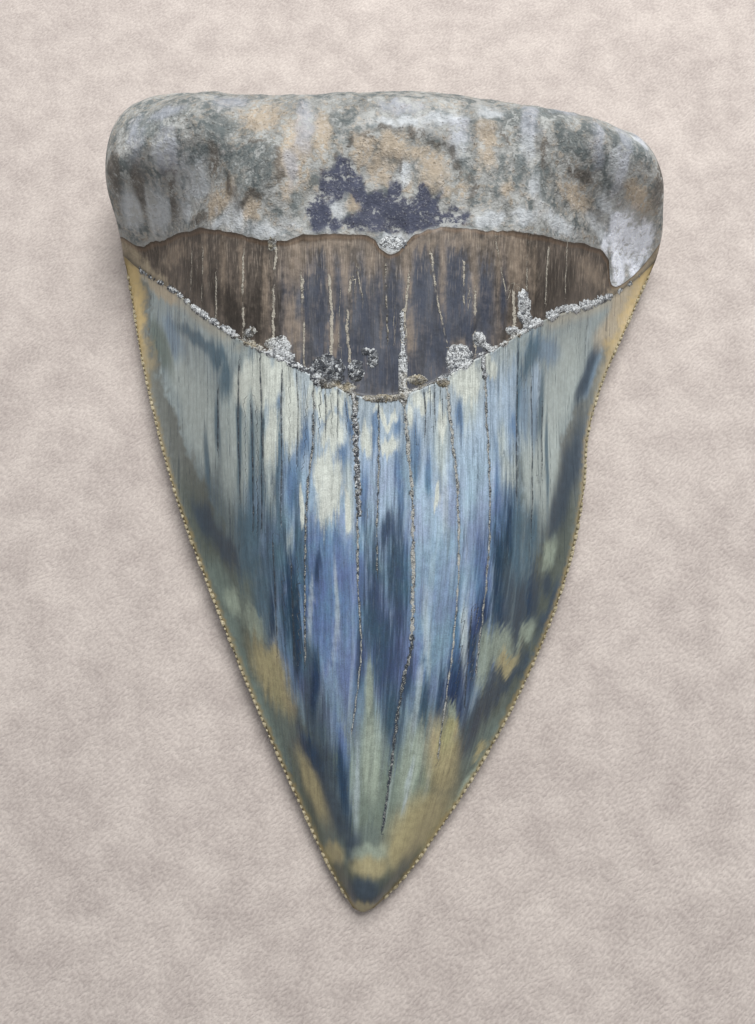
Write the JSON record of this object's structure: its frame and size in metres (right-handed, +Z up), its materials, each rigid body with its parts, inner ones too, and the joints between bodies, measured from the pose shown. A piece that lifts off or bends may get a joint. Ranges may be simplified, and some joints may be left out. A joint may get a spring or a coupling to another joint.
{
  "type": "megalodon tooth",
  "caption": "Fossil shark tooth lying on its flat face: broad thick root, smooth band, and a domed enamel blade with fine serrated edges and a pointed tip.",
  "frame": {"origin": "middle of the bounding box's bottom: on the surface the tooth lies on, under its middle", "axes": "-Y towards the tip, +Y towards the root, +X to the right seen from above with the tip towards the viewer, +Z up out of the domed inner face"},
  "size_m": [0.0816, 0.1112, 0.0269],
  "materials": {
    "fossil_tooth": "satin"
  },
  "bodies": {
    "root": {"megalodon_tooth": "fossil_tooth"}
  },
  "joints": []
}
